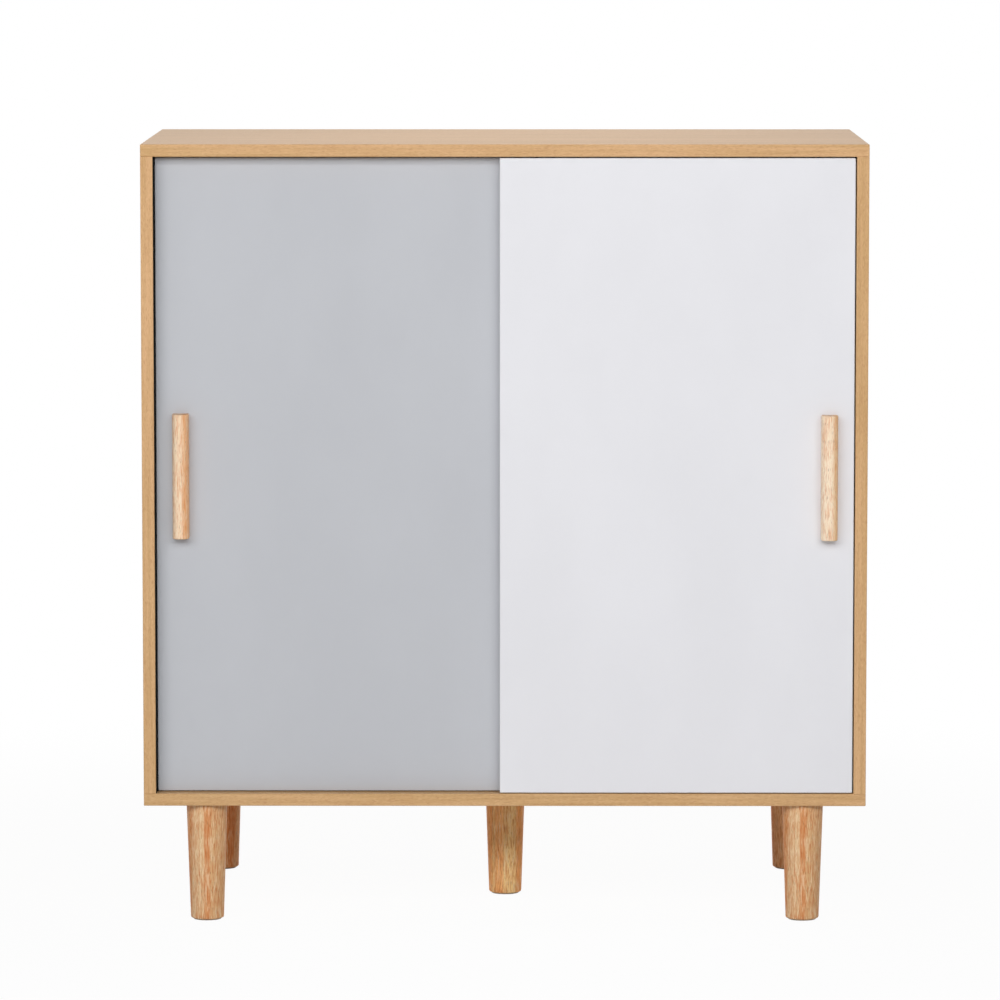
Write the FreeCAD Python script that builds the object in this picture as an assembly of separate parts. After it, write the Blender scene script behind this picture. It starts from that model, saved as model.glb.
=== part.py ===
import FreeCAD, Part
import os

# Low cabinet with two by-passing sliding doors on five turned legs.
#
# Millimetres. +X to the right, +Y to the back, +Z up. The origin is on the floor at the
# centre of the carcass's footprint, under the middle of the centre leg's pad.
#
# The carcass is a flat-pack box: full-width top and bottom boards, two side boards and a
# partition standing between them, a two-piece back in grooves, and four loose shelves. The
# doors hang on nothing: each stands on two wheels that roll in a lined groove in the bottom
# board, and is kept upright by two retractable pins in a lined groove in the top board.

# Driving dimensions: carcass
WIDTH = 880.0
DEPTH = 450.0
HEIGHT = 950.0
LEG_HEIGHT = 144.0
BOARD = 15.0
EDGE_EASE = 0.6  # chamfer that takes the sharpness off an edge-banded arris

# Driving dimensions: doors
DOOR_THICKNESS = 15.0
DOOR_SETBACK = 1.0  # carcass front to the front door's face
DOOR_SPACING = 2.0  # between the two doors' planes
DOOR_OVERLAP = 12.0  # how far the doors cover each other in the middle
DOOR_SIDE_GAP = 1.5
DOOR_BOTTOM_GAP = 1.0
DOOR_TOP_GAP = 1.6
DOOR_EASE = 0.8

# Driving dimensions: tracks let into the top and bottom boards
TRACK_WIDTH = 6.0
TRACK_DEPTH = 5.0
TRACK_WALL = 0.8
TRACK_END = 1.0  # the grooves stop this far from the side boards

# Driving dimensions: rollers
ROLLER_INSET = 45.0  # from a door's side edge to the wheel
CUP_RADIUS = 17.5
CUP_DEPTH = 11.5
CUP_RISE = 14.0  # cup's centre above the door's bottom edge
WHEEL_RADIUS = 9.0
WHEEL_THICKNESS = 3.6
WHEEL_LIFT = 0.3  # running clearance over the liner
WHEEL_SIDE_ROOM = 0.4
WHEEL_END_ROOM = 1.0  # round the wheel's rim in its cup
AXLE_RADIUS = 1.5
AXLE_LENGTH = 11.0
AXLE_CLEARANCE = 0.05

# Driving dimensions: top guides
GUIDE_WIDTH = 16.0
GUIDE_HEIGHT = 40.0
GUIDE_DEPTH = 11.0
GUIDE_ROOF = 4.0
SLIDER_WIDTH = 10.0
SLIDER_THICKNESS = 4.0
SLIDER_HEIGHT = 21.0
SLIDER_PLAY = 0.1
SLIDER_TOP_ROOM = 1.0  # slider's shoulder to the housing's roof
GUIDE_PIN_RADIUS = 2.0
GUIDE_PIN_REACH = 3.4  # how far the pin stands in the top groove
GUIDE_PIN_PLAY = 0.15
THUMB_LUG_WIDTH = 5.2
THUMB_LUG_HEIGHT = 6.0
THUMB_LUG_DROP = 12.0  # door's top edge to the lug's upper end
THUMB_LUG_RECESS = 0.5
THUMB_LUG_PLAY = 0.4

# Driving dimensions: handles
HANDLE_LENGTH = 152.0
HANDLE_WIDTH = 20.0
HANDLE_DEPTH = 20.0
HANDLE_INSET = 30.0  # from a door's outer edge to the handle's centre line
HANDLE_EASE = 1.0
HANDLE_SCREW_SPAN = 96.0
HANDLE_SCREW_RADIUS = 2.0
HANDLE_SCREW_LENGTH = 26.0
HANDLE_SCREW_HEAD = 4.0
HANDLE_SCREW_HEAD_HEIGHT = 2.4

# Driving dimensions: legs
LEG_TOP_RADIUS = 25.0
LEG_FOOT_RADIUS = 20.2
LEG_FOOT_EASE = 2.2
LEG_SIDE_INSET = 75.4  # carcass side to a corner leg's axis
LEG_FRONT_INSET = 31.0  # carcass front or back to a corner leg's axis
LEG_BOLT_RADIUS = 4.0
LEG_BOLT_IN_LEG = 40.0
LEG_BOLT_IN_BOARD = 8.4
LEG_BORE_SPARE = 4.0
INSERT_RADIUS = 6.0
INSERT_DEPTH = 9.0
PAD_RADIUS = 17.0
PAD_THICKNESS = 1.5

# Driving dimensions: back, shelves and shelf pins
BACK_THICKNESS = 3.0
BACK_SETIN = 10.0  # carcass back to the back panels' outer face
BACK_GROOVE_DEPTH = 5.0
BACK_GROOVE_PLAY = 0.2
BACK_EDGE_PLAY = 1.0  # left free at the end of a back panel's groove
BACK_SEAM = 1.6
STRIP_FLANGE = 0.8
STRIP_WIDTH = 16.0
STRIP_WEB = 1.2
STRIP_PLAY = 0.1
SHELF_SIDE_GAP = 0.75
SHELF_FRONT_INSET = 9.0  # partition's front edge to a shelf's front edge
SHELF_BACK_GAP = 3.0
PIN_RADIUS = 2.5
PIN_IN_BOARD = 6.5
PIN_LENGTH = 14.0
PIN_SETBACK = 35.0  # shelf's front or back edge to a pin

# Driving dimensions: joints between the boards
CAM_RADIUS = 7.5
CAM_DEPTH = 12.5
CAM_DROP = 34.0  # board's end to the cam's centre
CAM_SLOT = 7.4
CAM_WALL = 3.6
CAM_FLOOR = 1.2
CAM_DRIVE_LENGTH = 9.0
CAM_DRIVE_WIDTH = 1.8
CAM_DRIVE_DEPTH = 2.0
CAM_BOLT_RADIUS = 3.0
CAM_BOLT_HEAD_RADIUS = 3.5
CAM_BOLT_HEAD = 5.0
CAM_BOLT_IN_TOP = 11.0
DOWEL_RADIUS = 4.0
DOWEL_IN_TOP = 10.0
DOWEL_LENGTH = 30.0
CONFIRMAT_RADIUS = 3.2
CONFIRMAT_LENGTH = 50.0
CONFIRMAT_HEAD_RADIUS = 5.0
CONFIRMAT_HEAD = 3.0
JOINT_DEPTHS = (-120.0, 150.0)  # where the screws and cams stand along a board

# Driving dimensions: seals
SEAL_THICKNESS = 0.7
SEAL_FRONT_INSET = 0.5

NEGLIGIBLE = 0.001  # a length under this is none

# Derived places
X_AXIS = FreeCAD.Vector(1, 0, 0)
Y_AXIS = FreeCAD.Vector(0, 1, 0)
Z_AXIS = FreeCAD.Vector(0, 0, 1)
SIDE = WIDTH / 2
INNER_SIDE = SIDE - BOARD
FRONT = -DEPTH / 2
BACK = DEPTH / 2
FLOOR = LEG_HEIGHT + BOARD  # upper face of the bottom board
CEILING = HEIGHT - BOARD  # lower face of the top board
DOOR_WIDTH = INNER_SIDE - DOOR_SIDE_GAP + DOOR_OVERLAP / 2
DOOR_BOTTOM = FLOOR + DOOR_BOTTOM_GAP
DOOR_TOP = CEILING - DOOR_TOP_GAP
FRONT_DOOR_FACE = FRONT + DOOR_SETBACK
REAR_DOOR_FACE = FRONT_DOOR_FACE + DOOR_THICKNESS + DOOR_SPACING
DOOR_ZONE_BACK = REAR_DOOR_FACE + DOOR_THICKNESS
PARTITION_FRONT = DOOR_ZONE_BACK + DOOR_SPACING
BACK_FACE = BACK - BACK_SETIN - BACK_THICKNESS  # inner face of the back panels
PARTITION_BACK = BACK_FACE - STRIP_PLAY - STRIP_FLANGE
HANDLE_MIDDLE = (DOOR_BOTTOM + DOOR_TOP) / 2
AXLE_HEIGHT = FLOOR - TRACK_DEPTH + TRACK_WALL + WHEEL_LIFT + WHEEL_RADIUS
SHELF_FRONT = PARTITION_FRONT + SHELF_FRONT_INSET
SHELF_BACK = BACK_FACE - SHELF_BACK_GAP
TIER_HEIGHT = (CEILING - FLOOR - 2 * BOARD) / 3
SHELF_HEIGHTS = {
    "lower": FLOOR + TIER_HEIGHT,
    "upper": FLOOR + 2 * TIER_HEIGHT + BOARD,
}
PIN_DEPTHS = (SHELF_FRONT + PIN_SETBACK, SHELF_BACK - PIN_SETBACK)

# Each upright: the x of its middle plane, and the depths of its dowels and of its cam joints.
# The side boards are pulled up to the top board by cams; the partition only stands on dowels.
UPRIGHTS = {
    "left_side_panel": (BOARD / 2 - SIDE, (0.0,), JOINT_DEPTHS),
    "right_side_panel": (SIDE - BOARD / 2, (0.0,), JOINT_DEPTHS),
    "centre_partition": (0.0, JOINT_DEPTHS, ()),
}
# Each door: its low x, the y of its front face, and the side its handle is on
DOORS = {
    "front": (-DOOR_OVERLAP / 2, FRONT_DOOR_FACE, 1),
    "rear": (DOOR_OVERLAP / 2 - DOOR_WIDTH, REAR_DOOR_FACE, -1),
}
LEG_CENTRES = [(0.0, 0.0)]
for leg_depth in (FRONT + LEG_FRONT_INSET, BACK - LEG_FRONT_INSET):
    LEG_CENTRES += [(LEG_SIDE_INSET - SIDE, leg_depth), (SIDE - LEG_SIDE_INSET, leg_depth)]


# Plain shapes
def block(x, y, z):
    """Box between the low and high ends given for each axis."""
    corner = FreeCAD.Vector(x[0], y[0], z[0])
    return Part.makeBox(x[1] - x[0], y[1] - y[0], z[1] - z[0], corner)


def rod(radius, foot, axis, length):
    """Cylinder from the point foot along axis."""
    return Part.makeCylinder(radius, length, FreeCAD.Vector(*foot), axis)


def turned(profile, centre):
    """Solid turned about a vertical axis from a profile of (radius, height) points."""
    points = [FreeCAD.Vector(radius, 0, height) for radius, height in profile]
    outline = Part.Face(Part.makePolygon(points + points[:1]))
    solid = outline.revolve(FreeCAD.Vector(0, 0, 0), Z_AXIS, 360)
    solid.translate(FreeCAD.Vector(centre[0], centre[1], 0))
    return solid


def eased_board(x, y, z, ease):
    """Board with every arris eased by a small chamfer."""
    board = block(x, y, z)
    return board.makeChamfer(ease, board.Edges)


def upright_board(x, y, z, ease):
    """Board that stands between two others: its four long arrises are eased, its ends are square."""
    board = block(x, y, z)
    upright = [edge for edge in board.Edges if edge.BoundBox.ZLength > NEGLIGIBLE]
    return board.makeChamfer(ease, upright)


def bored(board, tools):
    """The board with every tool cut out of it."""
    return board.cut(Part.makeCompound(tools))


# Fasteners between the boards. Each is also the tool that bores its own hole.
def cam_face(middle):
    """x of a side board's inner face, and the way into the board from it."""
    outward = 1 if middle > 0 else -1
    return middle - outward * BOARD / 2, outward


def cam_bore(middle, depth):
    """Round pocket for a cam lock, let into a side board's inner face."""
    face, inward = cam_face(middle)
    return rod(CAM_RADIUS, (face, depth, CEILING - CAM_DROP), X_AXIS * inward, CAM_DEPTH)


def cam_lock(middle, depth):
    """Cam lock: a drum, hooked over the bolt's head, with a driver slot in its face."""
    face, inward = cam_face(middle)
    centre = CEILING - CAM_DROP
    near, far = face + inward * CAM_WALL, face + inward * (CAM_DEPTH - CAM_FLOOR)
    hook = block(
        sorted((near, far)),
        (depth - CAM_SLOT / 2, depth + CAM_SLOT / 2),
        (centre - CAM_SLOT / 2, centre + CAM_RADIUS),
    )
    drive = block(
        sorted((face, face + inward * CAM_DRIVE_DEPTH)),
        (depth - CAM_DRIVE_LENGTH / 2, depth + CAM_DRIVE_LENGTH / 2),
        (centre - CAM_DRIVE_WIDTH / 2, centre + CAM_DRIVE_WIDTH / 2),
    )
    return bored(cam_bore(middle, depth), [hook, drive])


def cam_bolt(middle, depth):
    """Bolt screwed into the top board, with the head that its cam lock pulls on."""
    head = CEILING - CAM_DROP - CAM_BOLT_HEAD / 2
    neck = head + CAM_BOLT_HEAD
    tip = CEILING + CAM_BOLT_IN_TOP
    profile = [
        (0, head),
        (CAM_BOLT_HEAD_RADIUS, head),
        (CAM_BOLT_HEAD_RADIUS, neck),
        (CAM_BOLT_RADIUS, neck),
        (CAM_BOLT_RADIUS, tip),
        (0, tip),
    ]
    return turned(profile, (middle, depth))


def cam_bolt_bore(middle, depth):
    """Bore down a side board's end that lets the bolt's head into the cam lock."""
    foot = (middle, depth, CEILING - CAM_DROP)
    return rod(CAM_BOLT_HEAD_RADIUS, foot, Z_AXIS, CAM_DROP)


def dowel(middle, depth):
    """Wooden dowel between an upright's upper end and the top board."""
    low = CEILING + DOWEL_IN_TOP - DOWEL_LENGTH
    return rod(DOWEL_RADIUS, (middle, depth, low), Z_AXIS, DOWEL_LENGTH)


def confirmat(middle, depth):
    """Screw driven up through the bottom board into an upright's lower end."""
    profile = [
        (0, LEG_HEIGHT),
        (CONFIRMAT_HEAD_RADIUS, LEG_HEIGHT),
        (CONFIRMAT_RADIUS, LEG_HEIGHT + CONFIRMAT_HEAD),
        (CONFIRMAT_RADIUS, LEG_HEIGHT + CONFIRMAT_LENGTH),
        (0, LEG_HEIGHT + CONFIRMAT_LENGTH),
    ]
    return turned(profile, (middle, depth))


def dowels(names=UPRIGHTS):
    """The dowels over the named uprights."""
    return [dowel(UPRIGHTS[name][0], depth) for name in names for depth in UPRIGHTS[name][1]]


def at_cams(make, names=UPRIGHTS):
    """One piece for each cam joint of the named uprights."""
    return [make(UPRIGHTS[name][0], depth) for name in names for depth in UPRIGHTS[name][2]]


def confirmats(names=UPRIGHTS):
    """The screws under the named uprights."""
    return [confirmat(UPRIGHTS[name][0], depth) for name in names for depth in JOINT_DEPTHS]


# Shelves and their pins
def bay(side):
    """Low and high x of the bay to the left (-1) or right (1) of the partition."""
    return sorted((side * BOARD / 2, side * INNER_SIDE))


def shelf(side, level):
    """Loose shelf standing on its four pins."""
    low, high = bay(side)
    height = SHELF_HEIGHTS[level]
    across = (low + SHELF_SIDE_GAP, high - SHELF_SIDE_GAP)
    return eased_board(across, (SHELF_FRONT, SHELF_BACK), (height, height + BOARD), EDGE_EASE)


def pin_places(side):
    """Foot point and way out of each shelf pin in a bay."""
    low, high = bay(side)
    for level in SHELF_HEIGHTS.values():
        for depth in PIN_DEPTHS:
            yield (low - PIN_IN_BOARD, depth, level - PIN_RADIUS), X_AXIS
            yield (high + PIN_IN_BOARD, depth, level - PIN_RADIUS), X_AXIS * -1


def shelf_pins(side):
    """The pins of one bay."""
    return [rod(PIN_RADIUS, foot, way, PIN_LENGTH) for foot, way in pin_places(side)]


def shelf_holes(side):
    """The pins' holes in one bay."""
    return [rod(PIN_RADIUS, foot, way, PIN_IN_BOARD) for foot, way in pin_places(side)]


# Back
def back_groove(x, z):
    """Groove that holds a back panel's edge."""
    low = BACK_FACE - BACK_GROOVE_PLAY
    return block(x, (low, low + BACK_THICKNESS + 2 * BACK_GROOVE_PLAY), z)


def back_panel(side):
    """Half of the back, standing on the bottom groove's floor and slid into a side groove."""
    edge = INNER_SIDE + BACK_GROOVE_DEPTH - BACK_EDGE_PLAY
    across = sorted((side * BACK_SEAM / 2, side * edge))
    height = (FLOOR - BACK_GROOVE_DEPTH, CEILING + BACK_GROOVE_DEPTH - BACK_EDGE_PLAY)
    return block(across, (BACK_FACE, BACK_FACE + BACK_THICKNESS), height)


def back_joint_strip():
    """H-section strip that joins the two halves of the back behind the partition."""
    height = (FLOOR, CEILING)
    front = (PARTITION_BACK, PARTITION_BACK + STRIP_FLANGE)
    rear_face = BACK_FACE + BACK_THICKNESS + STRIP_PLAY
    rear = (rear_face, rear_face + STRIP_FLANGE)
    across = (-STRIP_WIDTH / 2, STRIP_WIDTH / 2)
    web = block((-STRIP_WEB / 2, STRIP_WEB / 2), (front[0], rear[1]), height)
    return web.fuse([block(across, front, height), block(across, rear, height)]).removeSplitter()


# Tracks
def track_middle(door):
    """y of the middle plane that a door shares with its two tracks."""
    return DOORS[door][1] + DOOR_THICKNESS / 2


def track_space(door, grow, z):
    """Length of a track's groove, narrowed on each side by grow."""
    middle = track_middle(door)
    across = INNER_SIDE - TRACK_END
    half = TRACK_WIDTH / 2 - grow
    return block((-across, across), (middle - half, middle + half), z)


def track_groove(door, top):
    """Groove for a door's track in the top or the bottom board."""
    z = (CEILING, CEILING + TRACK_DEPTH) if top else (FLOOR - TRACK_DEPTH, FLOOR)
    return track_space(door, 0, z)


def track_liner(door, top):
    """U-section liner that fills a track's groove and leaves the running channel."""
    if top:
        channel = (CEILING, CEILING + TRACK_DEPTH - TRACK_WALL)
    else:
        channel = (FLOOR - TRACK_DEPTH + TRACK_WALL, FLOOR)
    return track_groove(door, top).cut(track_space(door, TRACK_WALL, channel))


# Carcass boards
def top_panel():
    """Full-width top board, grooved for the tracks and the back."""
    board = eased_board((-SIDE, SIDE), (FRONT, BACK), (CEILING, HEIGHT), EDGE_EASE)
    reach = INNER_SIDE + BACK_GROOVE_DEPTH
    tools = [track_groove(door, True) for door in DOORS]
    tools.append(back_groove((-reach, reach), (CEILING, CEILING + BACK_GROOVE_DEPTH)))
    return bored(board, tools + at_cams(cam_bolt) + dowels())


def bottom_panel():
    """Full-width bottom board, grooved for the tracks and the back and bored for the legs."""
    board = eased_board((-SIDE, SIDE), (FRONT, BACK), (LEG_HEIGHT, FLOOR), EDGE_EASE)
    reach = INNER_SIDE + BACK_GROOVE_DEPTH
    tools = [track_groove(door, False) for door in DOORS]
    tools.append(back_groove((-reach, reach), (FLOOR - BACK_GROOVE_DEPTH, FLOOR)))
    tools += [rod(INSERT_RADIUS, (x, y, LEG_HEIGHT), Z_AXIS, INSERT_DEPTH) for x, y in LEG_CENTRES]
    return bored(board, tools + confirmats())


def joint_tools(name):
    """Everything bored into an upright's two ends and its lock face."""
    only = [name]
    return dowels(only) + confirmats(only) + at_cams(cam_bore, only) + at_cams(cam_bolt_bore, only)


def upright_span(name):
    """Low and high x of an upright."""
    middle = UPRIGHTS[name][0]
    return middle - BOARD / 2, middle + BOARD / 2


def side_panel(name, side):
    """Side board with the back's groove, its joints and its bay's shelf holes."""
    board = upright_board(upright_span(name), (FRONT, BACK), (FLOOR, CEILING), EDGE_EASE)
    groove = sorted((side * INNER_SIDE, side * (INNER_SIDE + BACK_GROOVE_DEPTH)))
    tools = [back_groove(groove, (FLOOR, CEILING))]
    return bored(board, tools + joint_tools(name) + shelf_holes(side))


def centre_partition():
    """Partition behind the doors, which carries the middle of the top board."""
    name = "centre_partition"
    deep = (PARTITION_FRONT, PARTITION_BACK)
    board = upright_board(upright_span(name), deep, (FLOOR, CEILING), EDGE_EASE)
    return bored(board, joint_tools(name) + shelf_holes(-1) + shelf_holes(1))


def seal(side):
    """Dark strip on a side board's inner face, in the rear door's plane.

    The left one reaches forward to the carcass front and fills the gap beside the closed rear door.
    """
    across = sorted((side * (INNER_SIDE - SEAL_THICKNESS), side * INNER_SIDE))
    front = FRONT + SEAL_FRONT_INSET if side < 0 else REAR_DOOR_FACE
    return block(across, (front, DOOR_ZONE_BACK), (FLOOR, CEILING))


# Legs
def leg(centre):
    """Turned, tapered leg, bored at the top for its bolt."""
    foot = PAD_THICKNESS
    slope = (LEG_TOP_RADIUS - LEG_FOOT_RADIUS) / (LEG_HEIGHT - foot)
    bore = LEG_HEIGHT - LEG_BOLT_IN_LEG - LEG_BORE_SPARE
    profile = [
        (0, foot),
        (LEG_FOOT_RADIUS - LEG_FOOT_EASE, foot),
        (LEG_FOOT_RADIUS + slope * LEG_FOOT_EASE, foot + LEG_FOOT_EASE),
        (LEG_TOP_RADIUS, LEG_HEIGHT),
        (LEG_BOLT_RADIUS, LEG_HEIGHT),
        (LEG_BOLT_RADIUS, bore),
        (0, bore),
    ]
    return turned(profile, centre)


def leg_bolt(centre):
    """Bolt that is screwed into a leg and stands up into the board's insert."""
    low = LEG_HEIGHT - LEG_BOLT_IN_LEG
    return rod(LEG_BOLT_RADIUS, (*centre, low), Z_AXIS, LEG_BOLT_IN_LEG + LEG_BOLT_IN_BOARD)


def leg_insert(centre):
    """Threaded insert in the bottom board."""
    sleeve = rod(INSERT_RADIUS, (*centre, LEG_HEIGHT), Z_AXIS, INSERT_DEPTH)
    return sleeve.cut(rod(LEG_BOLT_RADIUS, (*centre, LEG_HEIGHT), Z_AXIS, INSERT_DEPTH))


def foot_pad(centre):
    """Felt disc stuck under the foot, which the cabinet stands on."""
    return rod(PAD_RADIUS, (*centre, 0), Z_AXIS, PAD_THICKNESS)


# Doors
def door_back(door):
    """y of a door's rear face."""
    return DOORS[door][1] + DOOR_THICKNESS


def running_places(door):
    """The x of a door's two wheels, which its two guides share, left one first."""
    low = DOORS[door][0]
    return {"left": low + ROLLER_INSET, "right": low + DOOR_WIDTH - ROLLER_INSET}


def handle_middle(door):
    """x of a handle's centre line."""
    low, _, side = DOORS[door]
    return low + HANDLE_INSET if side < 0 else low + DOOR_WIDTH - HANDLE_INSET


def handle_screw(door, rise):
    """Countersunk screw from the door's rear face into the handle."""
    start = FreeCAD.Vector(handle_middle(door), door_back(door), HANDLE_MIDDLE + rise)
    head = Part.makeCone(
        HANDLE_SCREW_HEAD, HANDLE_SCREW_RADIUS, HANDLE_SCREW_HEAD_HEIGHT, start, Y_AXIS * -1
    )
    shank = Part.makeCylinder(HANDLE_SCREW_RADIUS, HANDLE_SCREW_LENGTH, start, Y_AXIS * -1)
    return head.fuse(shank).removeSplitter()


def handle_screws(door):
    """A handle's two screws."""
    return [handle_screw(door, rise) for rise in (-HANDLE_SCREW_SPAN / 2, HANDLE_SCREW_SPAN / 2)]


def handle(door):
    """Wooden pull: a bar with a flat back on the door and a half-round front, its ends eased."""
    middle, face = handle_middle(door), DOORS[door][1]
    half = HANDLE_WIDTH / 2
    shoulder = face - HANDLE_DEPTH + half
    low = HANDLE_MIDDLE - HANDLE_LENGTH / 2
    corners = [
        FreeCAD.Vector(middle + half, shoulder, low),
        FreeCAD.Vector(middle + half, face, low),
        FreeCAD.Vector(middle - half, face, low),
        FreeCAD.Vector(middle - half, shoulder, low),
    ]
    nose = FreeCAD.Vector(middle, shoulder - half, low)
    edges = [Part.LineSegment(a, b).toShape() for a, b in zip(corners, corners[1:])]
    edges.append(Part.Arc(corners[3], nose, corners[0]).toShape())
    bar = Part.Face(Part.Wire(edges)).extrude(Z_AXIS * HANDLE_LENGTH)
    ends = [edge for edge in bar.Edges if edge.BoundBox.ZLength < NEGLIGIBLE]
    free = [edge for edge in ends if edge.BoundBox.YMin < face - NEGLIGIBLE]
    return bored(bar.makeChamfer(HANDLE_EASE, free), handle_screws(door))


def cup_bore(door, x):
    """Round pocket in the door's rear face, which breaks out through its bottom edge."""
    foot = (x, door_back(door), DOOR_BOTTOM + CUP_RISE)
    return rod(CUP_RADIUS, foot, Y_AXIS * -1, CUP_DEPTH)


def roller_axle(door, x):
    """Axle pushed into the cup from its rear face."""
    return rod(AXLE_RADIUS, (x, door_back(door), AXLE_HEIGHT), Y_AXIS * -1, AXLE_LENGTH)


def roller_cup(door, x):
    """Moulded cup, flush with the door, with the slot that its wheel stands in."""
    middle = track_middle(door)
    room = WHEEL_THICKNESS / 2 + WHEEL_SIDE_ROOM
    reach = WHEEL_RADIUS + WHEEL_END_ROOM
    slot = block(
        (x - reach, x + reach),
        (middle - room, middle + room),
        (DOOR_BOTTOM - CUP_RADIUS, AXLE_HEIGHT + reach),
    )
    waste = block(
        (x - CUP_RADIUS, x + CUP_RADIUS),
        (door_back(door) - CUP_DEPTH, door_back(door)),
        (DOOR_BOTTOM - CUP_RADIUS, DOOR_BOTTOM),
    )
    return bored(cup_bore(door, x), [slot, waste, roller_axle(door, x)])


def wheel(door, x):
    """Nylon wheel, running on its axle."""
    foot = (x, track_middle(door) - WHEEL_THICKNESS / 2, AXLE_HEIGHT)
    disc = rod(WHEEL_RADIUS, foot, Y_AXIS, WHEEL_THICKNESS)
    return disc.cut(rod(AXLE_RADIUS + AXLE_CLEARANCE, foot, Y_AXIS, WHEEL_THICKNESS))


def guide_pocket(door, x):
    """Pocket in the door's rear face, open at its top edge."""
    half = GUIDE_WIDTH / 2
    deep = (door_back(door) - GUIDE_DEPTH, door_back(door))
    return block((x - half, x + half), deep, (DOOR_TOP - GUIDE_HEIGHT, DOOR_TOP))


def guide_housing(door, x):
    """Moulded housing whose channel, open below, holds the guide's slider."""
    middle = track_middle(door)
    half = SLIDER_WIDTH / 2 + SLIDER_PLAY
    room = SLIDER_THICKNESS / 2 + SLIDER_PLAY
    low = DOOR_TOP - GUIDE_HEIGHT
    channel = block((x - half, x + half), (middle - room, middle + room), (low, DOOR_TOP - GUIDE_ROOF))
    lug_half = THUMB_LUG_WIDTH / 2 + THUMB_LUG_PLAY
    window = block(
        (x - lug_half, x + lug_half),
        (middle, door_back(door)),
        (low, DOOR_TOP - THUMB_LUG_DROP + THUMB_LUG_PLAY),
    )
    roof = (x, middle, DOOR_TOP - GUIDE_ROOF)
    pin_hole = rod(GUIDE_PIN_RADIUS + GUIDE_PIN_PLAY, roof, Z_AXIS, GUIDE_ROOF)
    return bored(guide_pocket(door, x), [channel, window, pin_hole])


def guide_slider(door, x):
    """Sliding tongue with the guide pin on top and a thumb lug that pulls it down."""
    middle = track_middle(door)
    half, room = SLIDER_WIDTH / 2, SLIDER_THICKNESS / 2
    high = DOOR_TOP - GUIDE_ROOF - SLIDER_TOP_ROOM
    tongue = block((x - half, x + half), (middle - room, middle + room), (high - SLIDER_HEIGHT, high))
    lug_top = DOOR_TOP - THUMB_LUG_DROP
    lug = block(
        (x - THUMB_LUG_WIDTH / 2, x + THUMB_LUG_WIDTH / 2),
        (middle, door_back(door) - THUMB_LUG_RECESS),
        (lug_top - THUMB_LUG_HEIGHT, lug_top),
    )
    pin = rod(GUIDE_PIN_RADIUS, (x, middle, high), Z_AXIS, CEILING + GUIDE_PIN_REACH - high)
    return tongue.fuse([lug, pin]).removeSplitter()


def door_panel(door):
    """Door board, bored for its rollers, guides and handle screws."""
    low, face, _ = DOORS[door]
    board = eased_board(
        (low, low + DOOR_WIDTH), (face, face + DOOR_THICKNESS), (DOOR_BOTTOM, DOOR_TOP), DOOR_EASE
    )
    tools = handle_screws(door)
    for x in running_places(door).values():
        tools += [cup_bore(door, x), guide_pocket(door, x)]
    return bored(board, tools)


# Assembly
def carcass_nodes():
    """The fixed box, its fasteners, shelves, tracks and seals."""
    nodes = {
        "top_panel": [top_panel()],
        "bottom_panel": [bottom_panel()],
        "left_side_panel": [side_panel("left_side_panel", -1)],
        "right_side_panel": [side_panel("right_side_panel", 1)],
        "centre_partition": [centre_partition()],
        "back_joint_strip": [back_joint_strip()],
        "cam_locks": at_cams(cam_lock),
        "cam_bolts": at_cams(cam_bolt),
        "dowels": dowels(),
        "confirmat_screws": confirmats(),
    }
    for label, side in (("left", -1), ("right", 1)):
        nodes[f"{label}_back_panel"] = [back_panel(side)]
        nodes[f"{label}_seal"] = [seal(side)]
        nodes[f"{label}_shelf_pins"] = shelf_pins(side)
        for level in SHELF_HEIGHTS:
            nodes[f"{level}_{label}_shelf"] = [shelf(side, level)]
    for door in DOORS:
        nodes[f"{door}_top_track"] = [track_liner(door, True)]
        nodes[f"{door}_bottom_track"] = [track_liner(door, False)]
    return nodes


def leg_nodes():
    """Five legs with their bolts, inserts and pads, each kind in one node."""
    return {
        "legs": [leg(centre) for centre in LEG_CENTRES],
        "leg_bolts": [leg_bolt(centre) for centre in LEG_CENTRES],
        "leg_inserts": [leg_insert(centre) for centre in LEG_CENTRES],
        "foot_pads": [foot_pad(centre) for centre in LEG_CENTRES],
    }


def door_nodes(door):
    """One door with its handle, rollers and guides."""
    places = running_places(door)
    nodes = {
        f"{door}_door_panel": [door_panel(door)],
        f"{door}_handle": [handle(door)],
        f"{door}_handle_screws": handle_screws(door),
        f"{door}_roller_cups": [roller_cup(door, x) for x in places.values()],
        f"{door}_roller_axles": [roller_axle(door, x) for x in places.values()],
        f"{door}_guide_housings": [guide_housing(door, x) for x in places.values()],
    }
    for side, x in places.items():
        nodes[f"{door}_{side}_wheel"] = [wheel(door, x)]
        nodes[f"{door}_{side}_guide_slider"] = [guide_slider(door, x)]
    return nodes


def main():
    """Build every node and write one STEP file for each."""
    os.makedirs("parts", exist_ok=True)
    nodes = {**carcass_nodes(), **leg_nodes(), **door_nodes("front"), **door_nodes("rear")}
    for name, solids in nodes.items():
        shape = solids[0] if len(solids) == 1 else Part.makeCompound(solids)
        shape.exportStep(f"parts/{name}.step")
    print(len(nodes), "nodes")


main()
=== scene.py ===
"""Dresses the sliding door cabinet and adds its turned, swept and moulded fine pieces.

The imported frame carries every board, track and fitting, and this script gives each of them its finish.
It stands finer surfaces in for the legs, pulls, pads, wheels and screws. Lengths are metres in the
frame's own axes: +X to the right, +Y to the back, +Z up, with the origin on the floor.
"""

import logging
import math
from dataclasses import dataclass
from enum import Enum
from functools import cached_property
from typing import Any, Callable, Optional, Sequence, Union

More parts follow.
